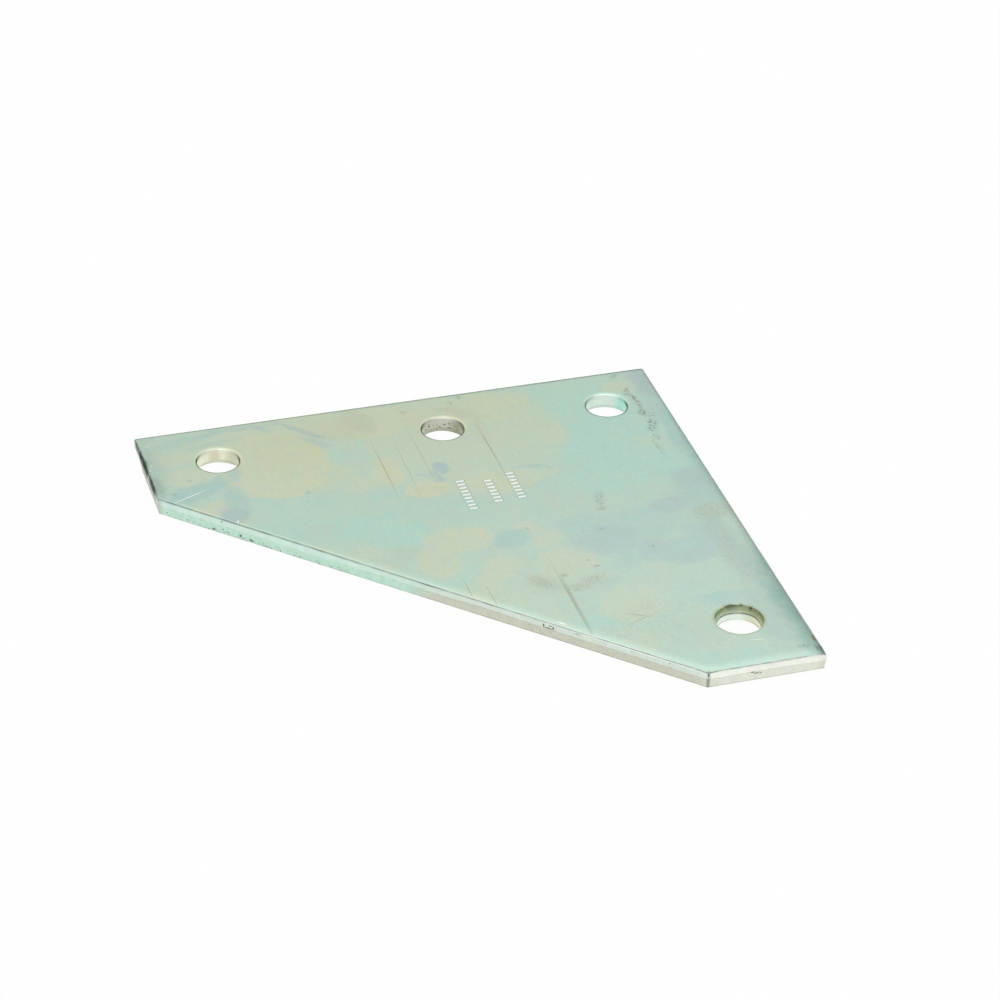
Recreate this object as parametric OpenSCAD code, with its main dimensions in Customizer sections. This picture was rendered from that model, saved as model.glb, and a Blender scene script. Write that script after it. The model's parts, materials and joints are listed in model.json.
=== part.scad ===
// Flat corner brace for slotted steel framing.
// It is one blank, stamped from quarter-inch plate: two legs that meet at a
// square corner, joined by a slanted edge, with four round bolt holes.
// The plate lies on its flat back, z = 0. The origin is on the axis of the
// corner hole, the long leg runs along +X and the short leg along +Y.

/* [Plate] */
// Length of the long leg, from the square corner to its end
long_leg = 184.15; // [150:0.05:260]
// Length of the short leg, from the square corner to its end
short_leg = 177.8; // [120:0.05:240]
// Thickness of the steel
plate_t = 6.35; // [4:0.05:10]
// Width of the long leg's end
long_end_w = 38.1; // [32:0.1:60]
// Width of the short leg's end
short_end_w = 39.7; // [32:0.1:60]
// Radius of the outline's corners, seen from above
corner_r = 1; // [0.4:0.1:3]

/* [Bolt holes] */
// Diameter of the bolt holes, a clearance hole for a half-inch bolt
hole_d = 14.3; // [9:0.1:18]
// Distance from a hole's centre to the outer edge of its leg
edge_dist = 20.64; // [16:0.01:28]
// Distance from the last hole of the long leg to the leg's end
long_end_dist = 24.6; // [18:0.1:45]
// Distance from the last hole of the short leg to the leg's end
short_end_dist = 24; // [18:0.1:45]
// Distance from the corner hole to the middle hole of the long leg
mid_spacing = 59.6; // [30:0.1:90]

/* [Sheared outline] */
// Width of the edge that the die pulled down, on the top face
roll_w = 3.2; // [1.5:0.1:5]
// Depth of the pulled-down edge
roll_d = 0.6; // [0.3:0.05:1]
// How far the deeper roll reaches in from each corner
corner_roll_w = 7; // [4:0.5:12]
// Depth of the roll at each corner
corner_roll_d = 1.05; // [0.7:0.05:1.5]
// Height of the torn part of the side wall, above the back
tear_h = 2.9; // [1.5:0.1:3.2]
// How far the torn part leans in at the back
tear_in = 0.4; // [0.2:0.05:0.8]

/* [Punched holes] */
// How far a hole breaks out wider than its bore, on the face where the punch came through
break_out = 0.8; // [0.2:0.05:1]
// Height of the broken-out part in the holes punched from the top
top_break_h = 1.2; // [0.8:0.1:1.6]
// Height of the broken-out part in the hole punched from the back
back_break_h = 2.9; // [1:0.1:3.2]
// Bevel where the broken-out part meets the face
rim_bevel = 0.25; // [0.1:0.05:0.4]
// Width of the edge that the punch pulled in, where it entered
punch_roll_w = 1.3; // [0.4:0.1:1.6]
// Depth of the edge that the punch pulled in
punch_roll_d = 0.45; // [0.2:0.05:0.6]

/* [Hidden] */
$fn = 96;

// Rolls leave the flat face at this small angle, and round corners leave the
// outline's straight sides at the second one, so that no cut is tangent
start_angle = 2;
tip_angle = 8;
// Cutters reach this far past the faces that they cut
over = 1;
side_over = 0.3;

hole_r = hole_d / 2;
edge_x = long_leg - edge_dist;
edge_y = short_leg - edge_dist;

// Corners of the outline, anticlockwise from the square corner
corners = [
    [-edge_dist, -edge_dist],
    [edge_x, -edge_dist],
    [edge_x, long_end_w - edge_dist],
    [short_end_w - edge_dist, edge_y],
    [-edge_dist, edge_y]
];
corner_count = len(corners);

// Centres of the bolt holes along the long leg, punched from the top, and of
// the one at the end of the short leg, punched from the back
top_punched = [
    [0, 0],
    [mid_spacing, 0],
    [edge_x - long_end_dist, 0]
];
back_punched = [0, edge_y - short_end_dist];

function corner(i) = corners[(i + corner_count) % corner_count];
function unit(v) = v / norm(v);
function heading(v) = atan2(v.y, v.x);

// Radius of an arc that drops by depth over width and starts at start_angle
function roll_radius(width, depth) =
    (width * width + depth * depth)
    / (2 * (depth * cos(start_angle) - width * sin(start_angle)));

// Section of what a roll takes away. The flat face is y = 0, the wall is
// x = 0 and the steel is at +x, -y.
module roll_section(width, depth) {
    r = roll_radius(width, depth);
    lean = r * sin(start_angle);
    difference() {
        translate([-side_over, -depth - over])
            square([side_over + width + lean, depth + 2 * over]);
        translate([width + lean, -r * cos(start_angle)])
            circle(r);
    }
}

// Section of what the tear takes away from the foot of a side wall
module tear_section() {
    lean = tear_in / tear_h;
    polygon([
        [-side_over, tear_h + side_over / lean],
        [-side_over, -over],
        [tear_in + over * lean, -over]
    ]);
}

// Sweeps a section along the line from a to b, with the steel on its left
module along(a, b, extra) {
    length = norm(b - a);
    translate([a.x, a.y, 0])
        rotate([0, 0, heading(b - a)])
            translate([-extra, 0, 0])
                rotate([90, 0, 90])
                    linear_extrude(height = length + 2 * extra)
                        children();
}

// What the die rolled and tore away along one side of the outline
module side_waste(i) {
    a = corner(i);
    b = corner(i + 1);
    along(a, b, over)
        translate([0, plate_t])
            roll_section(roll_w, roll_d);
    along(a, b, over)
        tear_section();
}

// The deeper roll across one corner, square to the line that halves it
module corner_waste(i) {
    p = corner(i);
    to_next = unit(corner(i + 1) - p);
    to_last = unit(corner(i - 1) - p);
    across = unit(to_next - to_last);
    along(p - across * corner_roll_w, p + across * corner_roll_w, corner_roll_w)
        translate([0, plate_t])
            roll_section(corner_roll_w, corner_roll_d);
}

// The plate's outline at its widest, with small round corners
module outline() {
    difference() {
        polygon(corners);
        for (i = [0 : corner_count - 1])
            corner_tip(i);
    }
}

// The sharp tip that a round corner leaves outside its arc
module corner_tip(i) {
    p = corner(i);
    to_next = unit(corner(i + 1) - p);
    to_last = unit(corner(i - 1) - p);
    half = acos(to_next * to_last) / 2;
    inward = unit(to_next + to_last);
    depth = corner_r * cos(tip_angle);
    reach = depth / tan(half);
    difference() {
        polygon([p - inward, p + to_next * reach, p + to_last * reach]);
        translate(p + inward * depth / sin(half))
            circle(corner_r);
    }
}

// One bolt hole, punched from the top: the punch's roll, the bore and the
// break-out at the back
module bolt_hole(break_h) {
    widen = break_out / break_h;
    rim_r = hole_r + break_out;
    translate([0, 0, -over])
        cylinder(h = plate_t + 2 * over, r = hole_r);
    translate([0, 0, -over])
        cylinder(
            h = break_h + 2 * over,
            r1 = rim_r + widen * over,
            r2 = hole_r - widen * over
        );
    translate([0, 0, -over])
        cylinder(
            h = rim_bevel + 2 * over,
            r1 = rim_r + rim_bevel + over,
            r2 = rim_r - over
        );
    rotate_extrude()
        translate([hole_r, plate_t])
            roll_section(punch_roll_w, punch_roll_d);
}

// The blank as it leaves the die, with its sides rolled and torn
module sheared_blank() {
    difference() {
        linear_extrude(height = plate_t)
            outline();
        for (i = [0 : corner_count - 1])
            side_waste(i);
    }
}

module corner_plate() {
    color([0.70, 0.80, 0.76])
        difference() {
            sheared_blank();
            for (i = [0 : corner_count - 1])
                corner_waste(i);
            for (p = top_punched)
                translate([p.x, p.y, 0])
                    bolt_hole(top_break_h);
            translate([back_punched.x, back_punched.y, plate_t])
                mirror([0, 0, 1])
                    bolt_hole(back_break_h);
        }
}

corner_plate();
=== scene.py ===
# Flat corner brace: one plate stamped from quarter-inch steel and zinc plated.
# Everything is in metres, in the frame of the solid: the flat back is z = 0,
# the corner hole's axis is the origin and the long leg runs along +X.
import json
import math

import bpy
from mathutils import Matrix, Vector, noise
from mathutils.geometry import delaunay_2d_cdt


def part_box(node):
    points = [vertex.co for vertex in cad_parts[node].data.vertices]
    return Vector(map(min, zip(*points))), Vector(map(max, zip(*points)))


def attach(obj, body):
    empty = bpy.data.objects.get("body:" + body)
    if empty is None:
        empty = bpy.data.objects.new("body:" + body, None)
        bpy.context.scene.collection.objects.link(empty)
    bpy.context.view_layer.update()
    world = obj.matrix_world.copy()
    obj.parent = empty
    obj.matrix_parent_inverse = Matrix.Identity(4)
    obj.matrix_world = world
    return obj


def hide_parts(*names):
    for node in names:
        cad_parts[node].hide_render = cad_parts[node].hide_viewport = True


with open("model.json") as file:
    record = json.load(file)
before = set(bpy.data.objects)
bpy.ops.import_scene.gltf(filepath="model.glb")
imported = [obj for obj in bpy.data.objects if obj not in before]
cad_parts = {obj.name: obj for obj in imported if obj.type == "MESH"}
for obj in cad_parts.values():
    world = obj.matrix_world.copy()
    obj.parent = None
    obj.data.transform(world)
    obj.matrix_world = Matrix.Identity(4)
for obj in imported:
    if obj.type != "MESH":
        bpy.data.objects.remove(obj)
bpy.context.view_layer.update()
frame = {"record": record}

# The blank
# The real piece is cut from hot-rolled, pickled steel plate by one stroke of a
# blanking die, so it is flat, and all of its character is in its cut edges.
# The outline below is the one at the smooth, sheared part of the side wall.
MM = 0.001
LONG_END_WIDTH = 38.1
SHORT_END_WIDTH = 39.7
CORNER_RADIUS = 0.6
CORNER_STEPS = 6
STATION_GAP = 0.8

plate_low, plate_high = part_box("corner_plate")
LEFT, FRONT = plate_low[0] / MM, plate_low[1] / MM
RIGHT, BACK = plate_high[0] / MM, plate_high[1] / MM
THICKNESS = (plate_high[2] - plate_low[2]) / MM

# Anticlockwise from the square corner: long side, long end, slant, short end, short side
CORNERS = [
    Vector((LEFT, FRONT)),
    Vector((RIGHT, FRONT)),
    Vector((RIGHT, FRONT + LONG_END_WIDTH)),
    Vector((LEFT + SHORT_END_WIDTH, BACK)),
    Vector((LEFT, BACK)),
]


def ripple(x, y, size, seed=0.0):
    """Smooth noise between about -1 and 1 that repeats itself every `size` mm or so."""
    return noise.noise(Vector((x / size + seed, y / size - seed, seed * 1.7)))


def side(i):
    """Start, direction, inward normal and length of one side of the outline."""
    start, end = CORNERS[i], CORNERS[(i + 1) % len(CORNERS)]
    along = (end - start).normalized()
    return start, along, Vector((-along.y, along.x)), (end - start).length


SIDES = [side(i) for i in range(len(CORNERS))]


# How far the foot of the wall leans in at the start of each side. What is more
# than the usual lean dies out along the side.
TEAR_LEAN = 0.38
START_LEAN = [TEAR_LEAN, 1.2, TEAR_LEAN, TEAR_LEAN, TEAR_LEAN]
LEAN_REACH = 11.0
FOOT_RADIUS = 0.12


def outline_stations():
    """Points round the outline as (place, outward normal, foot), with round corners."""
    stations = []
    for i, (start, along, inward, length) in enumerate(SIDES):
        before = SIDES[i - 1][1]
        turn = math.acos(max(-1, min(1, before.dot(along))))
        trim = CORNER_RADIUS * math.tan(turn / 2)
        centre = start + along * trim + inward * CORNER_RADIUS
        foot_radius = max(FOOT_RADIUS, CORNER_RADIUS - START_LEAN[i])
        back = (START_LEAN[i] + foot_radius) * math.cos(turn) - (TEAR_LEAN + foot_radius)
        foot_centre = start + inward * (START_LEAN[i] + foot_radius) - along * back / math.sin(turn)
        first = math.atan2(-SIDES[i - 1][2].y, -SIDES[i - 1][2].x)
        for k in range(CORNER_STEPS + 1):
            angle = first + turn * k / CORNER_STEPS
            out = Vector((math.cos(angle), math.sin(angle)))
            stations.append((centre + out * CORNER_RADIUS, out, foot_centre + out * foot_radius))
        after = SIDES[(i + 1) % len(SIDES)][1]
        end_turn = math.acos(max(-1, min(1, along.dot(after))))
        run = length - trim - CORNER_RADIUS * math.tan(end_turn / 2)
        count = int(run / STATION_GAP)
        for k in range(1, count):
            place = start + along * (trim + run * k / count)
            fading = max(0.0, 1 - run * k / count / LEAN_REACH)
            lean = TEAR_LEAN + (START_LEAN[i] - TEAR_LEAN) * fading
            stations.append((place, -inward, place + inward * lean))
    return stations


# The rolled edge
# The die draws the top face down before it cuts, so the face curls over
# towards its edge. The curl is shallow along the long side and at the long
# end, and grows to about 4 mm wide at the short end, where the punch bit first.

# Each side's stops of (share of the way along it, width of the curl, its depth,
# radius of the small bend between curl and wall, how far down it the crease lies)
ROLL = [
    [(0.0, 1.8, 0.28, 0.30, 1.0), (1.0, 1.2, 0.25, 0.30, 1.0)],
    [
        (0.0, 1.2, 0.25, 0.40, 0.6),
        (0.2, 2.0, 0.34, 0.75, 0.5),
        (0.6, 2.0, 0.34, 0.85, 0.5),
        (1.0, 1.4, 0.28, 0.38, 0.8),
    ],
    [
        (0.0, 0.5, 0.10, 0.36, 1.0),
        (0.25, 0.6, 0.12, 0.38, 1.0),
        (0.42, 2.4, 0.30, 0.50, 1.0),
        (0.6, 2.6, 0.42, 0.40, 0.9),
        (0.8, 3.2, 0.50, 0.38, 0.6),
        (1.0, 3.7, 0.58, 0.40, 0.2),
    ],
    [(0.0, 4.0, 0.55, 0.30, 0.0), (1.0, 4.2, 0.66, 0.42, 0.0)],
    [(0.0, 4.4, 0.76, 0.85, 0.0), (0.5, 3.4, 0.52, 1.00, 0.0), (1.0, 1.9, 0.28, 0.80, 0.0)],
]
# At a corner two sides draw the face down, and the lesser pull counts for this much
CORNER_SHARE = 0.7


def between(stops, share):
    """The values at this share of the way, straight between the stops."""
    for (low, *first), (high, *last) in zip(stops, stops[1:]):
        if share <= high:
            part = (share - low) / (high - low)
            return [a + (b - a) * part for a, b in zip(first, last)]
    return list(stops[-1][1:])


def roll_drop(x, y):
    """How far the die drew the top face down at this point, in mm."""
    place = Vector((x, y))
    drop = 0.0
    deepest = 0.0
    for (start, along, inward, length), stops in zip(SIDES, ROLL):
        reach = (place - start).dot(along) / length
        width, depth, *_ = between(stops, max(0.0, min(1.0, reach)))
        width *= 1 + 0.10 * ripple(x, y, 23, 3.1)
        inset = max(0.0, (place - start).dot(inward))
        if inset < width:
            here = depth * (1 - inset / width) ** 2
            drop += here
            deepest = max(deepest, here)
    return deepest + CORNER_SHARE * (drop - deepest)


def bend_at(place):
    """The radius of the small bend at the nearest side, and how far down its crease lies."""
    insets = [(place - start).dot(inward) for start, along, inward, length in SIDES]
    nearest = insets.index(min(insets))
    start, along, inward, length = SIDES[nearest]
    return between(ROLL[nearest], max(0.0, min(1.0, (place - start).dot(along) / length)))[2:]


# The side wall
# Below the curl and a small bend with a dark crease, the wall is a bright,
# burnished land. Below that the steel tore away, so the foot leans in and is
# rough and dull. The line between the two wanders along the edge.
TEAR_TOP = 3.35
TEAR_WANDER = (0.55, 0.14)
TEAR_ROUGH = 0.05
LEAN_CURVE = 0.8
# The bend starts where the curl slopes this many degrees. The crease's painted shade
# fades out over CREASE_REACH of the bend, and the polished lip below it gets a painted highlight.
BEND_START = 22
BEND_ROWS = 5
CREASE_REACH = 0.4
LIP_BELOW_CREASE = 0.1
# Painted shade along the foot of a wall, where it meets the floor, and a darker line along the short end's
# tear line
TEAR_LINE_DARKENING = 0.25
FOOT_SHADE = 0.7
# A row's `torn` value runs from 1 on torn steel through 0 on the land to this on a polished lip with a
# painted highlight
POLISHED_HIGHLIGHT = -1.0
LAND_SHARES = (0.25, 0.5, 0.75, 0.93, 1.0)
TEAR_SHARES = (0.06, 0.2, 0.34, 0.48, 0.62, 0.76, 0.9, 1.0)


def wall_profile(place, out, foot):
    """One column of the wall as (x, y, z, torn, crease), from the curl down to the back."""
    rows = []
    bend, crease_place = bend_at(place)
    first_slope = math.radians(BEND_START)
    curl_end = place - out * bend * (1 - math.sin(first_slope))
    land_top = THICKNESS - roll_drop(curl_end.x, curl_end.y) - bend * math.cos(first_slope)
    for k in range(BEND_ROWS + 1):
        share = k / BEND_ROWS
        slope = first_slope + (math.pi / 2 - first_slope) * share
        crease = max(0.0, 1 - abs(share - crease_place) / CREASE_REACH)
        lip = POLISHED_HIGHLIGHT if share > crease_place + LIP_BELOW_CREASE else 0.0
        rows.append((bend * (1 - math.sin(slope)), land_top + bend * math.cos(slope), lip, crease))
    tear_top = TEAR_TOP + TEAR_WANDER[0] * ripple(place.x, place.y, 26, 5.7)
    tear_top += TEAR_WANDER[1] * ripple(place.x, place.y, 3.1, 8.3)
    for share in LAND_SHARES:
        z = land_top + (tear_top - land_top) * share
        tear_line = TEAR_LINE_DARKENING if share == 1 and place.y > BACK - 0.5 else 0.0
        rows.append((0.0, z, 1.0 if share == 1 else 0.0, tear_line))
    for share in TEAR_SHARES:
        z = tear_top * (1 - share)
        inset = 0.0
        if share < 1:
            rough = ripple(place.x * 1.3, place.y * 1.3 + z * 2.1, 1.6, 2.2 + z)
            inset = TEAR_ROUGH * rough + TEAR_ROUGH
        rows.append((inset, z, 1.0, FOOT_SHADE if share == 1 else 0.0))
    column = []
    for inset, z, torn, crease in rows:
        at = place - out * inset
        if z < tear_top:
            at += (foot - place) * (1 - z / tear_top) ** LEAN_CURVE
        column.append((at.x, at.y, z, torn, crease))
    return column


# The bolt holes
# The punch rolls the rim in where it enters and leaves a smooth bore, and the
# slug breaks out wider on the far face. Three holes were punched from the top,
# the one at the short leg's end from the back.

# Each hole as (punched from the top, roll width, roll depth, break-out height, widening)
PUNCHED = {
    "corner_hole": (True, 1.00, 0.22, 2.1, 1.45),
    "middle_hole": (True, 0.90, 0.24, 2.2, 1.10),
    "long_end_hole": (True, 0.90, 0.20, 1.9, 1.40),
    "short_end_hole": (False, 1.60, 0.70, 3.35, 0.80),
}
HOLE_STEPS = 112
ROLL_ROWS = 5
BORE_ROWS = 3
BREAK_OUT_ROWS = 7
# A small lip, polished by the punch, joins the roll to the bore. Painted shade darkens it
# on two sides, where the narrow rim mirrors the dark low room, by these shares at its
# upper edge, on the lip and at the bore.
BORE_LIP = 0.30
LIP_FADE = 0.30
LIP_SHADE = (0.6, 0.8, 0.35)
SHADED_SIDE = math.radians(-18)

holes = []
for mount in frame["record"]["mounts"]:
    if mount["name"] in PUNCHED:
        x, y = mount["pos_m"][0] / MM, mount["pos_m"][1] / MM
        holes.append((mount["name"], Vector((x, y)), mount["dims"]["r_mm"]))


def hole_profile(name, centre, bore, angle):
    """One column of a hole's wall as (x, y, z, torn, crease), from the top face down."""
    from_top, roll_width, roll_depth, tear_height, widening = PUNCHED[name]
    out = Vector((math.cos(angle), math.sin(angle)))
    at = centre + out * bore
    roll_width *= 1 + 0.10 * ripple(at.x, at.y, 9, 3.3)
    tear_start = THICKNESS - tear_height * (1 + 0.14 * ripple(at.x, at.y, 7, 4.4))
    rim = bore + widening * (1 + 0.16 * ripple(at.x, at.y, 4, 6.6))
    # Painted shade on the rim's two sides, and a painted highlight round the rest of a rim punched from the
    # top
    aside = angle - SHADED_SIDE
    dark = abs(math.cos(aside)) ** (2 if math.sin(aside) < 0 else 5)
    shine = 0.5 * POLISHED_HIGHLIGHT * (1 - dark) if from_top else 0.0
    rows = []
    for k in range(ROLL_ROWS + 1):
        share = k / ROLL_ROWS
        last = k == ROLL_ROWS
        radius = bore + BORE_LIP + roll_width * (1 - share)
        rows.append((radius, roll_depth * share ** 2, shine * last, LIP_SHADE[0] * dark * last))
    rows.append((bore, roll_depth + BORE_LIP, shine, LIP_SHADE[1] * dark))
    bore_start = roll_depth + BORE_LIP + LIP_FADE
    for k in range(BORE_ROWS + 1):
        depth = bore_start + (tear_start - bore_start) * k / BORE_ROWS
        rows.append((bore, depth, 0.6 * shine * (k == 0), LIP_SHADE[2] * dark * (k == 0)))
    for k in range(1, BREAK_OUT_ROWS + 1):
        share = k / BREAK_OUT_ROWS
        depth = tear_start + (THICKNESS - tear_start) * share
        rough = 0.07 * ripple(at.x * 1.4, at.y * 1.4 + depth * 2, 1.7, depth) if share < 1 else 0.0
        if from_top:
            line = FOOT_SHADE if share == 1 else 0.3 if k == 1 else 0.0
            flare = share ** 0.8
            torn = 0.7 + 0.3 * share
        else:
            line = 1.0 if k == 1 else 0.0
            flare = share ** 1.6
            torn = 0.2 + 0.8 * share
        rows.append((bore + (rim - bore) * flare + rough, depth, torn, line))
    if from_top:
        rows = [(r, THICKNESS - depth, torn, crease) for r, depth, torn, crease in rows]
    else:
        rows.reverse()
    return [
        (centre.x + out.x * r, centre.y + out.y * r, z, torn, crease)
        for r, z, torn, crease in rows
    ]


# The stamped marks
# A hand stamp left three rows of plain, equal bars, each a shallow groove with
# sloped flanks. They say nothing: they only show which way the plate lay.
# Each row gives the middle of its bars, the first bar's place and their number.
BAR_ROWS = [(63.4, 33.6, 9), (54.1, 35.6, 7), (45.7, 33.2, 8)]
BAR_PITCH = 2.1
BAR_LENGTH = 3.2
BAR_WIDTH = 1.2
BAR_DEPTH = 0.28
BAR_FLANK = 0.34


def bar_loop(x, y, inset):
    """The rounded outline of one bar, drawn in by `inset`."""
    half_length = BAR_LENGTH / 2 - inset
    half_width = BAR_WIDTH / 2 - inset
    corner = min(half_width, 0.2 if inset > 0 else 0.34)
    points = []
    for cx, cy, first in (
        (half_length - corner, half_width - corner, 0),
        (-half_length + corner, half_width - corner, 90),
        (-half_length + corner, -half_width + corner, 180),
        (half_length - corner, -half_width + corner, 270),
    ):
        for k in range(3):
            angle = math.radians(first + 45 * k)
            points.append((x + cx + corner * math.cos(angle), y + cy + corner * math.sin(angle)))
    return points


bars = [
    (x + 0.12 * ripple(x, k, 1.3, 9), y + BAR_PITCH * k)
    for x, y, count in BAR_ROWS
    for k in range(count)
]


# The plate's mesh
# The top face and the back are triangulated round the outline, the holes and
# the bars; the walls hang from the same points, so the mesh is one closed skin.
stations = outline_stations()
walls = []
for place, out, foot in stations:
    walls.append(wall_profile(place, out, foot))
hole_walls = [
    [
        hole_profile(name, centre, bore, 2 * math.pi * k / HOLE_STEPS)
        for k in range(HOLE_STEPS)
    ]
    for name, centre, bore in holes
]

vertices = []
torn_share = []
crease_share = []
faces = []
face_finish = []
ROLLED_FACE, SHEARED_EDGE, PUNCHED_WALL, STAMPED_BAR = range(4)


def add_vertex(x, y, z, torn=0.0, crease=0.0):
    vertices.append((x * MM, y * MM, z * MM))
    torn_share.append(torn)
    crease_share.append(crease)
    return len(vertices) - 1


def add_face(corners, finish):
    faces.append(corners)
    face_finish.append(finish)


def hang_wall(columns, finish):
    """Adds a closed wall of columns and returns its top and bottom loops."""
    grid = [[add_vertex(*row) for row in column] for column in columns]
    for k, column in enumerate(grid):
        after = grid[(k + 1) % len(grid)]
        for upper, lower in zip(range(len(column) - 1), range(1, len(column))):
            quad = (column[upper], column[lower], after[lower], after[upper])
            add_face(quad if finish == SHEARED_EDGE else quad[::-1], finish)
    return [column[0] for column in grid], [column[-1] for column in grid]


def flat_of(index):
    return (vertices[index][0] / MM, vertices[index][1] / MM)


def fill_face(loops, inner_loops, loose, height, upward):
    """Triangulates between an outer loop and holes, and through loose points.

    `loops` holds lists of vertex numbers, the outline first. `inner_loops` are
    the outlines of bars as lists of (x, y), and `loose` is a list of (x, y).
    """
    points = []
    owners = []
    edges = []
    for loop in loops:
        first = len(points)
        points += [flat_of(v) for v in loop]
        owners += loop
        edges += [(first + k, first + (k + 1) % len(loop)) for k in range(len(loop))]
    for loop in inner_loops:
        first = len(points)
        points += loop
        owners += [None] * len(loop)
        edges += [(first + k, first + (k + 1) % len(loop)) for k in range(len(loop))]
    points += loose
    owners += [None] * len(loose)
    found = delaunay_2d_cdt([Vector(p) for p in points], edges, [], 0, 1e-6)
    placed, triangles, origins = found[0], found[2], found[3]
    numbers = []
    for place, origin in zip(placed, origins):
        known = [owners[k] for k in origin if k < len(owners) and owners[k] is not None]
        numbers.append(known[0] if known else add_vertex(place.x, place.y, height(place.x, place.y)))
    ranks = [{v: k for k, v in enumerate(loop)} for loop in loops]
    for triangle in triangles:
        corners = [numbers[k] for k in triangle]
        if not belongs(corners, ranks):
            continue
        middle = sum((placed[k] for k in triangle), Vector((0, 0))) / 3
        add_face(
            corners if upward else corners[::-1],
            STAMPED_BAR if upward and in_bar(middle.x, middle.y, 0) else ROLLED_FACE,
        )


def belongs(corners, ranks):
    """Whether a triangle is plate, not hole, when one loop has all its corners.

    Every loop and every triangle runs anticlockwise, so a triangle's corners
    come in the loop's own order only if the triangle lies inside that loop.
    """
    for number, rank in enumerate(ranks):
        if all(corner in rank for corner in corners):
            first, second, _ = sorted(corners, key=rank.get)
            in_order = corners[(corners.index(first) + 1) % 3] == second
            return in_order == (number == 0)
    return True


def in_bar(x, y, inset):
    return any(
        abs(x - bx) < BAR_LENGTH / 2 - inset and abs(y - by) < BAR_WIDTH / 2 - inset
        for bx, by in bars
    )


def top_height(x, y):
    if in_bar(x, y, BAR_FLANK * 0.7):
        return THICKNESS - BAR_DEPTH
    return THICKNESS - roll_drop(x, y)


# How far the grid's points stay from the wall of a hole, and from the middle of a bar
HOLE_CLEAR = 3.0
BAR_CLEAR = (2.2, 1.2)


def loose_points(insets, spacing, grid):
    """Rows of points inside each side, which carry the curl, and a grid between them."""
    points = []
    for inset in insets:
        for start, along, inward, length in SIDES:
            count = int(length / spacing)
            for k in range(count + 1):
                spot = start + along * (length * k / count) + inward * inset
                nearest = min((spot - s).dot(n) for s, a, n, l in SIDES)
                if nearest > inset - 1e-4:
                    points.append((spot.x, spot.y))
    widest = insets[-1]
    y = FRONT
    row = 0
    while y < BACK:
        x = LEFT + (row % 2) * grid / 2
        while x < RIGHT:
            spot = Vector((x, y))
            clear = min((spot - s).dot(n) for s, a, n, l in SIDES) > widest + grid * 0.4
            clear = clear and all((spot - c).length > bore + HOLE_CLEAR for name, c, bore in holes)
            clear = clear and all(
                abs(x - bx) > BAR_CLEAR[0] or abs(y - by) > BAR_CLEAR[1] for bx, by in bars
            )
            if clear:
                points.append((x, y))
            x += grid
        y += grid * 0.87
        row += 1
    return points


# Rows of points inside the outline, on the curl and on the back, and rings round the holes
CURL_INSETS = [0.76, 1.05, 1.35, 1.75, 2.2, 2.7, 3.2, 3.7, 4.3, 5.0]
BACK_INSETS = [1.5]
RING_GAPS = (1.9, 2.5)
RING_STEPS = 56
BAR_INSETS = (-0.14, 0.0, 0.14, BAR_FLANK)

outer_top, outer_bottom = hang_wall(walls, SHEARED_EDGE)
outline_vertex_count = len(vertices)
hole_loops = [hang_wall(wall, PUNCHED_WALL) for wall in hole_walls]
wall_vertex_count = len(vertices)
rings = []
for name, centre, bore in holes:
    for gap in RING_GAPS:
        for k in range(RING_STEPS):
            angle = 2 * math.pi * k / RING_STEPS
            reach = bore + gap
            rings.append((centre.x + reach * math.cos(angle), centre.y + reach * math.sin(angle)))
bar_loops = []
for x, y in bars:
    for inset in BAR_INSETS:
        bar_loops.append(bar_loop(x, y, inset))
fill_face(
    [outer_top] + [loops[0] for loops in hole_loops],
    bar_loops,
    loose_points(CURL_INSETS, 1.1, 0.9) + rings,
    top_height,
    True,
)
fill_face(
    [outer_bottom] + [loops[1] for loops in hole_loops],
    [],
    loose_points(BACK_INSETS, 1.6, 4.0),
    lambda x, y: 0.0,
    False,
)

mesh = bpy.data.meshes.new("plate_blank")
mesh.from_pydata(vertices, [], faces)
mesh.validate()
mesh.shade_smooth()
mesh.set_sharp_from_angle(angle=math.radians(32))
mesh.attributes.new("torn", "FLOAT", "POINT").data.foreach_set("value", torn_share)
plate = bpy.data.objects.new("plate_blank", mesh)
bpy.context.scene.collection.objects.link(plate)


# The zinc
# Bright electroplated zinc with a clear chromate film, so thin that light
# interferes in it: most of the plate looks pale sea green, with khaki, rose and
# lavender stains where the film dried thicker or thinner.


# Zinc scatters what it mirrors into a satin, so every colour below is that of
# the metal's mirror image of a white room
def linear(code):
    """An sRGB hex colour as linear RGBA."""
    parts = [int(code[k : k + 2], 16) / 255 for k in (1, 3, 5)]
    return [p / 12.92 if p <= 0.04045 else ((p + 0.055) / 1.055) ** 2.4 for p in parts] + [1.0]


def add(tree, kind, inputs=None, **settings):
    """Adds a node, sets it up and fills or links its inputs."""
    made = tree.nodes.new(kind)
    for name, value in settings.items():
        setattr(made, name, value)
    for name, value in (inputs or {}).items():
        socket = made.inputs[name]
        if isinstance(value, bpy.types.NodeSocket):
            tree.links.new(value, socket)
        else:
            socket.default_value = value
    return made


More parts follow.
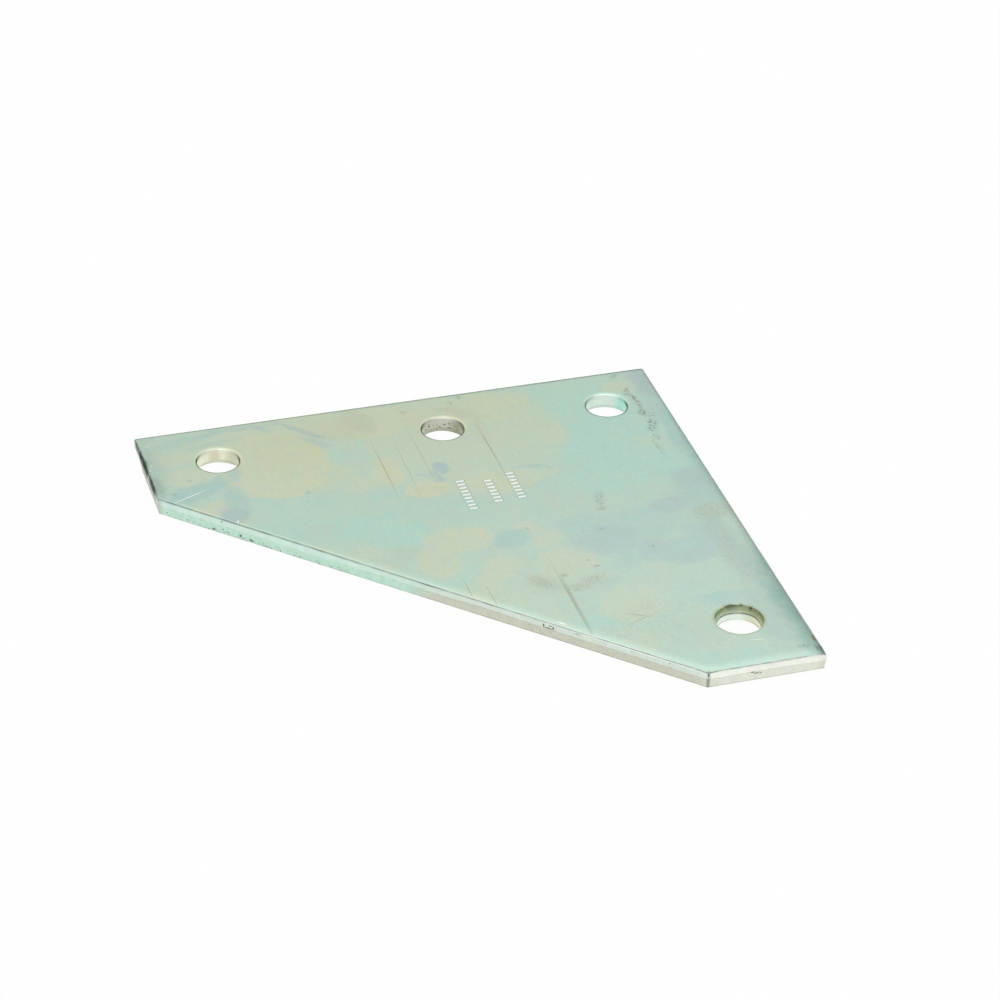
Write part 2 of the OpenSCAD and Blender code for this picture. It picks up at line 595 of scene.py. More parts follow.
# Stains as (x, y, half length, half width, turn in degrees, strength, softness),
# a layer for each colour of the film, laid one over the other in this order.
TEAL_STAINS = [
    (10, -6, 19, 15, 0, 0.8, 0.5),
    (21, -13, 8, 8, 0, 0.6, 0.4),
    (4, 25, 25, 24, 0, 0.85, 0.45),
    (13, 43, 18, 11, 0, 0.7, 0.4),
    (105, 52, 17, 7, 0, 0.7, 0.5),
    (92, 60, 11, 8, 0, 0.8, 0.4),
    (125, 45, 11, 7, 0, 0.6, 0.5),
    (44, 123, 6, 4, 0, 1.0, 0.4),
    (79, 86, 3.4, 7, -35, 0.7, 0.5),
    (10, 152, 16, 5, 0, 0.7, 0.5),
    (101, 9, 4, 5, 0, 0.5, 0.6),
    (120, 36, 14, 6, -10, 0.4, 0.6),
]
KHAKI_STAINS = [
    (122, 8, 20, 20.5, 0, 0.85, 0.05),
    (103, 22, 9, 9, 0, 0.4, 0.4),
    (118, -13, 19, 7, 0, 0.5, 0.4),
    (100, -14, 12, 6, 0, 0.6, 0.4),
    (84, -9.5, 20, 9.5, 0, 0.85, 0.12),
    (66, -10, 16, 8, 0, 0.55, 0.4),
    (42, -9, 18, 10, 0, 0.75, 0.2),
    (55, 10, 35, 33, 0, 0.42, 0.05),
    (85, 21, 6.5, 9.5, 0, 0.85, 0.3),
    (74.5, 36, 9, 4.8, 4, 0.95, 0.15),
    (51, 36.5, 15, 7, 0, 0.75, 0.2),
    (37, 33, 8, 6, 0, 0.5, 0.3),
    (54, 18, 20, 12, 0, 0.45, 0.5),
    (44, 5, 12, 10, 0, 0.45, 0.5),
    (24.5, 13, 5, 8.5, 0, 0.6, 0.2),
    (96, 27, 6, 6, 0, 0.5, 0.4),
    (73, 67, 11.5, 7.5, 0, 0.8, 0.12),
    (83, 78, 7, 10, 0, 0.7, 0.25),
    (64, 86, 7, 7.5, 0, 0.7, 0.2),
    (50, 66, 4.6, 4.2, 0, 0.7, 0.25),
    (45, 74, 5.4, 4.2, 30, 0.6, 0.3),
    (43, 88, 11, 8, 25, 0.75, 0.15),
    (56, 101, 15, 10, 20, 0.5, 0.4),
    (74, 97, 4.4, 10, -42, 0.7, 0.3),
    (66, 105, 7, 4, -40, 0.6, 0.4),
    (39, 101, 11, 6, 0, 0.5, 0.4),
    (57, 112, 8, 5, -40, 0.45, 0.4),
    (30, 116, 11, 11.5, 0, 0.7, 0.2),
    (33, 134, 8, 5, -30, 0.65, 0.4),
    (20, 108, 9, 5, 0, 0.4, 0.5),
    (10, 143, 7, 5, 0, 0.4, 0.5),
    (147, 28.5, 6.8, 3.6, 10, 0.7, 0.2),
    (150, 9, 10, 5.5, 0, 0.6, 0.3),
    (155, -4, 7, 5.5, 0, 0.5, 0.4),
    (143, -4, 12, 8, 0, 0.35, 0.5),
    (-6, -11, 5, 4, 0, 0.65, 0.3),
    (-10, 26, 7, 5, 0, 0.35, 0.5),
    (104, 67, 7, 4, -20, 0.35, 0.5),
]
OCHRE_STAINS = [
    (115, 1, 12, 12, 0, 0.6, 0.4),
    (113, 14, 12, 13, 0, 0.4, 0.4),
    (85, 22, 3, 9, 0, 0.5, 0.5),
    (75, 36, 6, 3.4, 0, 0.5, 0.4),
    (50, 37, 9, 4.4, 0, 0.35, 0.5),
    (28, 119, 7, 5, 0, 0.35, 0.5),
    (47, 92, 8, 3, 20, 0.35, 0.5),
    (92, -5, 7, 5, 0, 0.4, 0.5),
]
ROSE_STAINS = [
    (87.5, -12, 5.5, 9, 12, 0.85, 0.4),
    (94, -9, 10, 8, 0, 0.4, 0.4),
    (51.5, -8.5, 9, 2.6, -32, 0.75, 0.5),
    (47, 2, 2.4, 13, 0, 0.45, 0.5),
    (62, -3, 8, 7, 0, 0.4, 0.5),
    (93, 69, 6, 4, 0, 0.35, 0.5),
    (115, 51, 6, 4, 0, 0.3, 0.6),
    (13, 135, 8, 10, 0, 0.3, 0.6),
    (-13, 72.5, 8, 5, 0, 0.6, 0.25),
]
DUSK_STAINS = [
    (-11, 94, 4.4, 24, 3, 0.8, 0.5),
    (-10, 134, 4.2, 18, 0, 0.7, 0.5),
    (-16, 120, 3, 26, 0, 0.5, 0.6),
    (-9, 62, 6, 5, 0, 0.4, 0.5),
    (161, 0, 6, 20, 0, 0.5, 0.7),
]
BLUE_STAINS = [
    (149.5, 17.6, 12, 4.6, 26, 0.9, 0.25),
    (138, 26, 4.4, 10, 0, 0.7, 0.3),
    (140, -16.2, 17, 1.8, 8, 0.9, 0.5),
    (121, -17, 9, 1.6, 0, 0.5, 0.6),
    (143, -9, 9, 1.2, 5, 0.5, 0.6),
    (150, -12, 8, 1.2, 8, 0.5, 0.6),
    (57, 71, 6.6, 4.8, 20, 0.8, 0.2),
    (37.4, 31.2, 7, 0.8, -12, 0.6, 0.5),
    (-17, 22, 3.4, 30, 0, 0.7, 0.5),
    (-13, 57, 9, 13, 0, 0.7, 0.3),
    (18, 76, 20, 11, 16, 0.6, 0.25),
    (6, 91, 13, 6.5, 8, 0.75, 0.2),
    (0, 120.5, 9, 3.2, 0, 0.8, 0.5),
    (31, 69, 9, 5, 0, 0.5, 0.4),
    (-4, 79, 7, 10, 0, 0.5, 0.4),
    (21, 92, 9, 4, 20, 0.5, 0.4),
    (136, 10, 3, 4, 0, 0.6, 0.5),
    (-16, 5, 4, 12, 0, 0.6, 0.5),
]
LAVENDER_STAINS = [
    (67.4, 24, 2.7, 3.7, 0, 1.0, 0.3),
    (70.6, 28.6, 1.7, 3.6, 12, 0.8, 0.4),
    (74, 28, 4, 0.9, -20, 0.5, 0.6),
    (106.5, -10.4, 11.6, 1.25, -41, 1.0, 0.45),
    (104, -2.5, 6, 1.7, -52, 0.6, 0.5),
    (120, -15.5, 4, 1.2, -60, 0.6, 0.6),
    (141.5, 34.5, 5.2, 4.6, 20, 0.85, 0.3),
    (26, 80, 11, 8.5, 0, 0.6, 0.25),
    (12, 88, 5.5, 5.5, 0, 0.75, 0.4),
    (0.5, 65, 6.5, 4.6, 0, 0.75, 0.35),
    (1.5, 95.5, 8.4, 4.4, 5, 0.75, 0.25),
    (-13, 52, 6, 7, 0, 0.5, 0.4),
    (-16.5, -12, 4, 9, 0, 0.9, 0.5),
    (34, 104, 6, 2.2, 20, 0.4, 0.5),
    (-4, 84, 4, 6, 0, 0.5, 0.5),
    (129, -16.5, 6, 1, 8, 0.5, 0.6),
]
# Wide, faint casts: the near part of the plate is paler, the far part yellower,
# the curl is darkened with painted shade along the short side and at the long end, and black in spots at
# both ends
PALE_CAST = [(15, 140, 75, 75, 0, 0.32, 0.7)]
YELLOW_CAST = [(85, -14, 80, 24, 0, 0.22, 0.7)]
CURL_SHADE = [
    (163.5, 0, 3.5, 22, 0, 0.22, 0.8),
    (-20.6, 130, 6, 36, 0, 0.74, 0.7),
    (-20.6, 40, 4, 50, 0, 0.22, 0.8),
]
BLACK_CAST = [
    (163.3, -4.8, 0.9, 2.4, 0, 0.9, 0.5),
    (162.4, 11, 2.6, 5.5, 0, 0.3, 0.6),
    (-20.2, 155.5, 1.2, 3.2, 0, 1.0, 0.5),
    (-18, 157.0, 3.2, 0.5, 0, 0.9, 0.5),
]
TEAL = "#AED7CA"
KHAKI = "#D1D2B2"
FILM_LAYERS = [
    (TEAL, TEAL_STAINS),
    (KHAKI, KHAKI_STAINS),
    ("#CFCDA6", OCHRE_STAINS),
    ("#C2C1AB", ROSE_STAINS),
    ("#ACB9B3", DUSK_STAINS),
    ("#A4C5C1", BLUE_STAINS),
    ("#A9BBBF", LAVENDER_STAINS),
    ("#CDE6DE", PALE_CAST),
    ("#C4C294", YELLOW_CAST),
    # Painted shade on the curl, laid in with the film's colours
    ("#6A9C92", CURL_SHADE),
    ("#3F4F42", BLACK_CAST),
]
# Clouds under the stains and small wisps over them, as (colour, size in mm, strength)
CLOUDS = [("#A6D2CA", 8.0, 0.55), ("#CDCBB0", 6.1, 0.50)]
WISPS = [("#B2C2C2", 3.3, 0.26), ("#D3D5B6", 2.2, 0.26)]
BARE_FILM = "#B9D0C1"
PALE_FILM = "#BDD2C0"
# A bar's floor is painted near white as a highlight, and the dark line round its rim is painted shadow
BAR_GLINT = "#FAFCFA"
BAR_RIM_SHADOW = "#46524A"
BAR_RIM = 0.11

# Scratches and rubs on the top face, in the same form as the stains
DARK_SCRATCHES = [
    (85.8, 20.8, 0.12, 15, 0, 0.75, 0.7),
    (78.3, 20.5, 0.09, 16, -0.3, 0.5, 0.7),
    (71.4, 15.5, 0.10, 15, 0.4, 0.6, 0.7),
    (47.4, 17.8, 0.14, 13.5, 0.8, 0.8, 0.7),
    (78.5, 95, 0.12, 4.5, 2, 0.6, 0.7),
    (72.4, 100.5, 0.12, 5, 3, 0.6, 0.7),
    (48.1, 110, 0.16, 19, 0.4, 0.6, 0.7),
    (47.4, 108, 0.14, 12, -0.6, 0.5, 0.7),
    (30.4, 122.6, 0.13, 4, 62, 0.6, 0.7),
    (30, 125.0, 0.13, 4.4, -70, 0.5, 0.7),
    (-19.4, 148.5, 0.5, 1.8, 0, 1.0, 0.4),
]
BROWN_RUBS = [
    (47.9, 106.5, 0.6, 10, 0, 0.4, 0.5),
    (47.6, 121, 0.5, 9, 0.5, 0.35, 0.5),
    (53.5, 99, 4.5, 6.5, 40, 0.14, 0.6),
    (40, 101.5, 6.5, 3, 15, 0.12, 0.6),
    (46.4, 95.5, 1, 1, 0, 0.6, 0.6),
    (57.6, 121.6, 2.4, 0.5, 35, 0.6, 0.6),
]
WHITE_SCRATCHES = [
    (153.2, 19.6, 6.1, 0.16, 22.8, 1.0, 0.6),
    (141.6, 39.0, 0.9, 0.45, -30, 1.0, 0.5),
    (140.9, 38.1, 0.3, 0.8, -20, 0.9, 0.6),
    (55.2, 120.4, 1.5, 0.28, -43, 0.9, 0.5),
    (43.6, 135.2, 1.4, 0.3, -43, 0.9, 0.5),
    (-2, 145, 2.2, 0.13, -8, 0.8, 0.6),
    (-1.7, 125.0, 1.3, 0.18, -12, 0.9, 0.5),
    (160.2, -14.3, 0.9, 0.13, 10, 0.6, 0.6),
    (162.7, 0.4, 0.7, 0.2, 10, 0.8, 0.6),
    (161.4, -2.0, 0.3, 0.25, 0, 0.8, 0.6),
]
# Where dirt speckles the face, and how thickly
SPECKLED = [
    (-9.6, -6.5, 0.9, 2.6, -20, 0.8, 0.5),
    (-10.6, -2.4, 0.8, 2.6, 10, 0.9, 0.5),
    (-11.2, 2.2, 0.8, 3.0, 0, 0.9, 0.5),
    (-10.6, 8.0, 1.6, 2.2, 0, 0.8, 0.5),
    (-12.4, 10.4, 1.8, 1.4, 0, 0.7, 0.5),
    (-11.6, 15.0, 1.6, 2.2, 0, 0.8, 0.5),
    (-10.6, 18.6, 1.6, 2.0, 0, 0.8, 0.5),
    (-10.4, 24.0, 0.9, 2.4, 10, 0.5, 0.5),
    (-8.5, 30, 0.7, 6, 3, 0.45, 0.5),
    (21, 56, 1.6, 4.5, -18, 0.4, 0.5),
    (22.3, 61.6, 1.8, 0.9, 0, 0.7, 0.5),
    (26, 73, 0.8, 0.6, 0, 0.9, 0.5),
    (13.2, 87, 0.8, 0.6, 0, 0.5, 0.5),
    (36, 89, 0.7, 0.6, 0, 0.7, 0.5),
    (34.5, 93.3, 1.1, 0.8, 20, 0.7, 0.5),
    (50, 66.7, 0.7, 0.6, 0, 0.7, 0.5),
    (54.5, 97.5, 2.4, 5.2, 40, 0.30, 0.6),
    (38, 99.5, 4.4, 1.8, 25, 0.30, 0.6),
    (44, 103.2, 4.2, 2.0, 10, 0.26, 0.6),
    (151, 10.4, 0.9, 0.6, 0, 0.8, 0.5),
    (157.6, 17.2, 0.7, 1.2, 0, 0.8, 0.5),
    (114.3, 27, 0.6, 0.9, 20, 0.7, 0.5),
    (52.5, -15.1, 0.5, 1.3, 20, 0.9, 0.5),
    (49.0, -18.0, 0.6, 1.2, -15, 0.9, 0.5),
    (70, -13, 1.4, 1.2, 0, 0.5, 0.5),
    (-13.5, 72, 6, 4.4, 0, 0.22, 0.5),
    (-11, 100, 4, 24, 0, 0.10, 0.6),
    (-8.5, -17.5, 1.2, 1.2, 0, 0.7, 0.5),
    (-14.5, 152, 1.4, 1.0, 0, 0.6, 0.5),
    (30, 128, 14, 10, 0, 0.08, 0.6),
]


def stain_share(x, y, stains):
    """How strongly the strongest of these stains covers a point, from 0 to 1."""
    strongest = 0.0
    for stain_x, stain_y, length, width, turn, strength, softness in stains:
        across, up = x - stain_x, y - stain_y
        if strength > strongest and max(abs(across), abs(up)) < 1.6 * max(length, width):
            angle = math.radians(turn)
            along = (across * math.cos(angle) + up * math.sin(angle)) / length
            aside = (up * math.cos(angle) - across * math.sin(angle)) / width
            covered = (1 + softness - math.hypot(along, aside)) / (2 * softness)
            covered = max(0.0, min(1.0, covered))
            strongest = max(strongest, strength * covered * covered * (3 - 2 * covered))
    return strongest


def laid_over(base, tint, share):
    return [under + (over - under) * share for under, over in zip(base, tint)]


def film_colour(x, y):
    """The film's colour on the top face, with the stains' outlines a little wavy.

    They waver less close to the ends and to the short side, where stains are narrow.
    """
    # Painted highlight inside a bar and painted shadow round its rim
    if in_bar(x, y, BAR_RIM):
        return linear(BAR_GLINT)
    if in_bar(x, y, -0.02):
        return linear(BAR_RIM_SHADOW)
    colour = laid_over(linear(BARE_FILM), linear(PALE_FILM), 0.5 + 0.8 * ripple(x, y, 30, 1.9))
    for tint, size, gain in CLOUDS:
        colour = laid_over(colour, linear(tint), gain * max(0.0, ripple(x, y, size, size)))
    swing = 0.35 if min(RIGHT - x, x - LEFT, BACK - y) < 2 else 1.0
    wave_x = x + swing * (1.7 * ripple(x, y, 9, 2.7) + 1.1 * ripple(x, y, 2.8, 6.1))
    wave_y = y + swing * (1.7 * ripple(x, y, 9, 9.2) + 1.1 * ripple(x, y, 2.8, 7.3))
    for tint, stains in FILM_LAYERS:
        colour = laid_over(colour, linear(tint), stain_share(wave_x, wave_y, stains))
    for tint, size, gain in WISPS:
        colour = laid_over(colour, linear(tint), gain * max(0.0, ripple(x, y, size, size)))
    return colour


def scratch_mask(tree, place, scratches):
    """The strongest of these thin marks at this place, from 0 to 1.

    A mark on a wall also gives its height above the back and its half height.
    The others lie on the top face.
    """
    strongest = 0.0
    for x, y, length, width, turn, strength, softness, *upright in scratches:
        z, half_height = upright or (THICKNESS, 0.5 * THICKNESS)
        local = add(
            tree,
            "ShaderNodeMapping",
            {
                "Vector": place,
                "Location": (x, y, z),
                "Rotation": (0, 0, math.radians(turn)),
                "Scale": (length, width, half_height),
            },
            vector_type="TEXTURE",
        )
        distance = add(tree, "ShaderNodeVectorMath", {0: local.outputs[0]}, operation="LENGTH")
        edge = add(
            tree,
            "ShaderNodeMapRange",
            {
                "Value": distance.outputs["Value"],
                "From Min": 1 + softness,
                "From Max": 1 - softness,
                "To Max": strength,
            },
            interpolation_type="SMOOTHSTEP",
        )
        either = add(tree, "ShaderNodeMath", {0: strongest, 1: edge.outputs[0]}, operation="MAXIMUM")
        strongest = either.outputs[0]
    return strongest


def lay_on(tree, base, colour, share, strength=1.0):
    """Lays one colour over another, by its share of a place times its strength there."""
    amount = add(tree, "ShaderNodeMath", {0: share, 1: strength}, operation="MULTIPLY")
    layers = {"Factor": amount.outputs[0], 6: base, 7: linear(colour)}
    return add(tree, "ShaderNodeMix", layers, data_type="RGBA").outputs[2]


def noise_share(tree, place, size, low, high, detail=3.0, roughness=0.55, scale=(1.0, 1.0, 1.0)):
    """Noise of `size` mm, stretched so that `low` to `high` runs from 0 to 1.

    A `scale` below 1 draws the noise out along that axis.
    """
    scaled = add(tree, "ShaderNodeVectorMath", {0: place, 1: scale}, operation="MULTIPLY")
    pattern = add(
        tree,
        "ShaderNodeTexNoise",
        {"Vector": scaled.outputs[0], "Scale": 1 / size, "Detail": detail, "Roughness": roughness},
    )
    limits = {"Value": pattern.outputs["Fac"], "From Min": low, "From Max": high}
    return add(tree, "ShaderNodeMapRange", limits).outputs[0]


def plate_millimetres(tree):
    """The object's own place in millimetres."""
    coordinates = add(tree, "ShaderNodeTexCoord")
    return add(
        tree, "ShaderNodeVectorMath", {0: coordinates.outputs["Object"], "Scale": 1000.0}, operation="SCALE"
    ).outputs[0]


def start_material(name):
    material = bpy.data.materials.new(name)
    material.use_nodes = True
    tree = material.node_tree
    tree.nodes.clear()
    return material, tree


# Zinc over the rolled face of the plate: satin, with stains from the passivation
# and a few handling scratches. The mill's draw lines run along Y, and are as
# coarse as they need to be to show.
zinc_face, tree = start_material("bright_zinc_on_rolled_steel")
place = plate_millimetres(tree)
draw_lines = noise_share(tree, place, 0.7, 0.3, 0.7, scale=(1.0, 0.05, 1.0))
mottle = noise_share(tree, place, 6, 0.3, 0.7, 5.0, 0.65, (1.0, 0.5, 1.0))
streaks = noise_share(tree, place, 2.2, 0.25, 0.75, scale=(1.0, 0.1, 1.0))
flecks = noise_share(tree, place, 1.5, 0.35, 0.65, 4.0, 0.7)
pores = noise_share(tree, place, 0.5, 0.42, 0.72, 4.0, 0.7)
colour = add(tree, "ShaderNodeAttribute", attribute_name="film").outputs["Color"]
colour = lay_on(tree, colour, KHAKI, mottle, 0.20)
colour = lay_on(tree, colour, TEAL, streaks, 0.20)
colour = lay_on(tree, colour, "#A8CCC8", flecks, 0.22)
colour = lay_on(tree, colour, "#8A9C8C", pores, 0.17)

# Dirt lies in grains and in thin, winding trails
grains = noise_share(tree, place, 0.5, 0.50, 0.60, 4.0, 0.7)
swirl = add(tree, "ShaderNodeTexNoise", {"Vector": place, "Scale": 1 / 1.7, "Detail": 3.0})
offset = add(tree, "ShaderNodeMath", {0: swirl.outputs["Fac"], 1: 0.5}, operation="SUBTRACT")
distance = add(tree, "ShaderNodeMath", {0: offset.outputs[0]}, operation="ABSOLUTE")
trails = add(
    tree, "ShaderNodeMapRange", {"Value": distance.outputs[0], "From Min": 0.045, "From Max": 0.01}
)
speckle = add(tree, "ShaderNodeMath", {0: trails.outputs[0], 1: grains}, operation="MAXIMUM")
dirt = add(tree, "ShaderNodeAttribute", attribute_name="dirt").outputs["Fac"]
rubbed = add(tree, "ShaderNodeAttribute", attribute_name="rubbed").outputs["Fac"]
crease = add(tree, "ShaderNodeAttribute", attribute_name="crease").outputs["Fac"]
scratches = scratch_mask(tree, place, DARK_SCRATCHES)
colour = lay_on(tree, colour, "#A7A78C", rubbed)
colour = lay_on(tree, colour, "#8C8B74", scratches)
colour = lay_on(tree, colour, "#7A746C", dirt, speckle.outputs[0])
colour = lay_on(tree, colour, "#F0F4F0", scratch_mask(tree, place, WHITE_SCRATCHES))
# Painted shade in the crease where the face turns down into the wall
colour = lay_on(tree, colour, "#4E5C52", crease)

grain = noise_share(tree, place, 0.8, 0.2, 0.8)
grained = add(tree, "ShaderNodeMath", {0: draw_lines, 1: grain}, operation="ADD")
relief = add(tree, "ShaderNodeMath", {0: grained.outputs[0], 1: scratches}, operation="SUBTRACT")
bump = add(tree, "ShaderNodeBump", {"Height": relief.outputs[0], "Strength": 0.07, "Distance": 0.0001})
roughness = add(
    tree, "ShaderNodeMapRange", {"Value": draw_lines, "To Min": 0.21, "To Max": 0.27}
).outputs[0]
zinc = add(
    tree,
    "ShaderNodeBsdfPrincipled",
    {
        "Base Color": colour,
        "Metallic": 1.0,
        "Roughness": roughness,
        "Normal": bump.outputs[0],
    },
)
add(tree, "ShaderNodeOutputMaterial", {"Surface": zinc.outputs[0]})

# Chips, specks and scuffs on the side wall and in the middle hole, in the same
# form, with their height above the back and their half height at the end
EDGE_MARKS = [
    (59.0, 118.6, 1.7, 2, -44, 0.9, 0.5, 3.7, 0.17),
    (60.2, 117.3, 0.28, 2, -44, 0.9, 0.5, 4.3, 0.6),
    (57.8, 119.7, 0.28, 2, -44, 0.9, 0.5, 4.2, 0.5),
    (58.6, 119.0, 0.6, 2, -44, 0.8, 0.5, 4.7, 0.2),
    (51.7, 125.6, 0.9, 2, -44, 0.7, 0.6, 4.9, 0.16),
    (4.3, 157.2, 0.6, 2, -18, 0.9, 0.5, 3.3, 0.22),
    (2.9, 157.2, 0.9, 2, 0, 0.9, 0.5, 2.7, 0.2),
    (1.4, 157.2, 0.3, 2, 0, 0.8, 0.5, 2.5, 0.26),
    (148.0, 32.5, 0.7, 2, -44, 0.9, 0.6, 0.8, 0.34),
    (145.4, 34.9, 0.5, 2, -44, 0.8, 0.6, 1.9, 0.22),
    (144.2, 36.0, 0.7, 2, -44, 0.7, 0.6, 1.2, 0.18),
    (140.6, 39.6, 0.42, 2, -44, 0.9, 0.6, 1.5, 0.55),
    (137.6, 42.5, 0.8, 2, -44, 0.9, 0.6, 0.9, 0.34),
    (155.4, 25.3, 0.3, 2, -44, 0.7, 0.6, 1.1, 0.2),
    (161.0, 19.9, 0.35, 2, -44, 0.7, 0.6, 1.4, 0.2),
    (145.6, 34.7, 0.36, 2, -44, 0.9, 0.5, 4.95, 0.2),
    (38.0, 138.9, 0.25, 2, -44, 0.6, 0.5, 4.7, 0.14),
    (28.6, 148.0, 0.2, 2, -44, 0.8, 0.5, 4.9, 0.2),
    (25.0, 151.5, 0.2, 2, -44, 0.7, 0.5, 4.6, 0.16),
    (19.0, 157.1, 0.3, 0.3, 0, 0.9, 0.5, 5.0, 0.4),
    (57.0, -6.7, 0.5, 1, 0, 0.8, 0.5, 3.3, 0.2),
    (58.6, -7.1, 0.4, 1, 0, 0.8, 0.5, 2.6, 0.16),
    (61.4, -7.0, 0.5, 1, 0, 0.8, 0.5, 1.8, 0.2),
    (62.6, -6.5, 0.5, 1, 0, 0.9, 0.5, 3.4, 0.3),
    (64.2, -5.6, 0.6, 1.4, 0, 0.8, 0.5, 3.0, 0.25),
    (55.4, -5.8, 0.7, 1.2, 0, 0.6, 0.6, 2.2, 0.25),
]

# Zinc over the sheared edge and the punched walls, with the torn part duller
# and a matt, dark coat: painted shade in the crease below the curl, at the foot and
# on the hole rims, a darker line at the short end's tear line, and partly dirt where the long end is black
zinc_edge, tree = start_material("bright_zinc_on_sheared_steel")
place = plate_millimetres(tree)
torn = add(tree, "ShaderNodeAttribute", attribute_name="torn").outputs["Fac"]
crease = add(tree, "ShaderNodeAttribute", attribute_name="crease").outputs["Fac"]
colour = add(tree, "ShaderNodeAttribute", attribute_name="film").outputs["Color"]
patch = noise_share(tree, place, 2.2, 0.3, 0.7, 4.0, 0.65, (1.0, 1.0, 0.5))
shade = add(tree, "ShaderNodeMapRange", {"Value": patch, "To Min": 0.98, "To Max": 1.10}).outputs[0]
colour = add(tree, "ShaderNodeVectorMath", {0: colour, "Scale": shade}, operation="SCALE").outputs[0]
grit = noise_share(tree, place, 0.55, 0.35, 0.75, 4.0, 0.7)
tear_relief = add(tree, "ShaderNodeMath", {0: grit, 1: torn}, operation="MULTIPLY").outputs[0]
colour = lay_on(tree, colour, "#9C9F8C", tear_relief, 0.26)
specks = noise_share(tree, place, 0.8, 0.57, 0.63)
dirt = add(tree, "ShaderNodeAttribute", attribute_name="dirt").outputs["Fac"]
colour = lay_on(tree, colour, "#5A5A4A", dirt, specks)
colour = lay_on(tree, colour, "#474D3E", scratch_mask(tree, place, EDGE_MARKS))
bump = add(tree, "ShaderNodeBump", {"Height": tear_relief, "Strength": 0.4, "Distance": 0.0002})
roughness = add(tree, "ShaderNodeMapRange", {"Value": torn, "To Min": 0.25, "To Max": 0.42}).outputs[0]
zinc = add(
    tree,
    "ShaderNodeBsdfPrincipled",
    {
        "Base Color": colour,
        "Metallic": 1.0,
        "Roughness": roughness,
        "Normal": bump.outputs[0],
    },
)
painted_shade_and_dirt = add(tree, "ShaderNodeBsdfDiffuse", {"Color": linear("#3E4A41")})
surface = add(tree, "ShaderNodeMixShader", {0: crease, 1: zinc.outputs[0], 2: painted_shade_and_dirt.outputs[0]})
add(tree, "ShaderNodeOutputMaterial", {"Surface": surface.outputs[0]})

# The edge's film: its colour on the smooth land, on the torn foot and on a
# polished lip, whose brightness is a painted highlight, then patches of the first two,
# and how dark the painted shade in the crease is round the outline and in the holes.
# The long end has no bright lip, and its bend is black in places, partly dirt and partly painted shade.
EDGE_LAND, EDGE_TORN, EDGE_LIP_HIGHLIGHT = "#D2DFD4", "#D4D7C5", "#F1F6F3"
LONG_END = [(163.5, 0, 2.5, 22, 0, 1.0, 0.2)]
LONG_END_BLACK = [
    (163.5, -16.0, 2.5, 3.0, 0, 0.5, 0.6),
    (163.5, -9.8, 2.5, 3.0, 0, 0.9, 0.4),
    (163.5, -4.8, 2.5, 1.8, 0, 1.0, 0.3),
    (163.5, -1.0, 2.5, 2.6, 0, 0.9, 0.4),
    (163.5, 8.8, 2.5, 5.0, 0, 0.85, 0.5),
]
EDGE_PATCHES = [
    ("#CCE4D9", "#CAECDB", [(132.8, 47.2, 57, 20, -44, 1.0, 0.12)]),
    ("#EEF1E5", "#EAEFE1", [(0, 158, 22, 4, 0, 1.0, 0.3)]),
    ("#7C8275", "#7C8275", [(18.9, 156.9, 0.35, 0.35, 0, 0.8, 0.5)]),
    ("#D2E6D8", "#CDE6D8", [(0, 0, 10, 10, 0, 1.0, 0.2)]),
    ("#A9DFD0", "#ADE0D2", [(-8, -2, 3.5, 6, 0, 0.9, 0.5)]),
    ("#BEC1AF", "#B2B8A0", [(59.6, 0, 10, 10, 0, 1.0, 0.2)]),
    ("#989D83", "#939880", [(52, -3, 3, 5, 0, 0.9, 0.5)]),
    ("#E2E8CC", "#D8DCBE", [(139, 0, 10, 10, 0, 1.0, 0.2)]),
    ("#C4C8AE", "#C4C8AE", [(132, -2, 3, 6, 0, 0.9, 0.5)]),
    ("#CCC0AE", "#E2E8CC", [(138.5, -7.4, 3.0, 0.7, 0, 0.6, 0.5)]),
    ("#DFECDF", "#AEBA8E", [(0, 133.2, 10, 10, 0, 1.0, 0.2)]),
    ("#D2D6B4", "#A0A67A", [(-7, 131, 3.5, 6, 0, 0.7, 0.5)]),
    ("#DFECDF", "#5E6844", [(0, 124.9, 5.0, 0.7, 0, 1.0, 0.5)]),
    ("#33382A", "#33382A", [(-3.4, 125.6, 0.9, 0.5, -24, 1.0, 0.4)]),
    ("#33382A", "#33382A", [(-5.9, 127.9, 0.5, 0.4, -40, 0.8, 0.4)]),
    ("#B8C0B2", "#C4CCBE", [(163.5, 0, 2.5, 20, 0, 1.0, 0.2)]),
    ("#5A645A", "#B4BEB0", LONG_END_BLACK),
]
# Where the crease is darkened with painted shade, and how strongly
CREASES = [
    (163.5, -8, 5, 17, 0, 1.0, 0.4),
    (163.5, 12, 4, 8, 0, 0.6, 0.5),
    (130, 50, 56, 26, -44, 0.68, 0.3),
    (60, 118, 60, 12, -44, 0.8, 0.4),
    (32, 144, 26, 12, -44, 1.0, 0.4),
    (0, 158, 22, 4, 0, 0.8, 0.4),
    (-20.6, 157, 4, 6, 0, 1.0, 0.5),
    (59.6, 0, 10, 10, 0, 0.9, 0.3),
    (139, 0, 10, 10, 0, 1.0, 0.3),
    (0, 0, 10, 10, 0, 1.0, 0.3),
    (0, 133.2, 10, 10, 0, 1.0, 0.3),
]
# Specks of dirt at the foot of the wall near the long end, and in the middle hole
EDGE_SPECKS = [(130, 48, 34, 16, -44, 0.8, 0.3), (59.6, 0, 10, 10, 0, 0.6, 0.2)]


def edge_colour(x, y, torn):
    """The film's colour on the side wall or in a hole."""
    colour = laid_over(linear(EDGE_LAND), linear(EDGE_TORN), max(0.0, torn))
    for land, foot, stains in EDGE_PATCHES:
        tint = laid_over(linear(land), linear(foot), max(0.0, torn))
        colour = laid_over(colour, tint, stain_share(x, y, stains))
    # The polished lip gets a painted highlight, except at the long end
    shine = 0.7 * max(0.0, -torn) * (1 - stain_share(x, y, LONG_END))
    return laid_over(colour, linear(EDGE_LIP_HIGHLIGHT), shine)


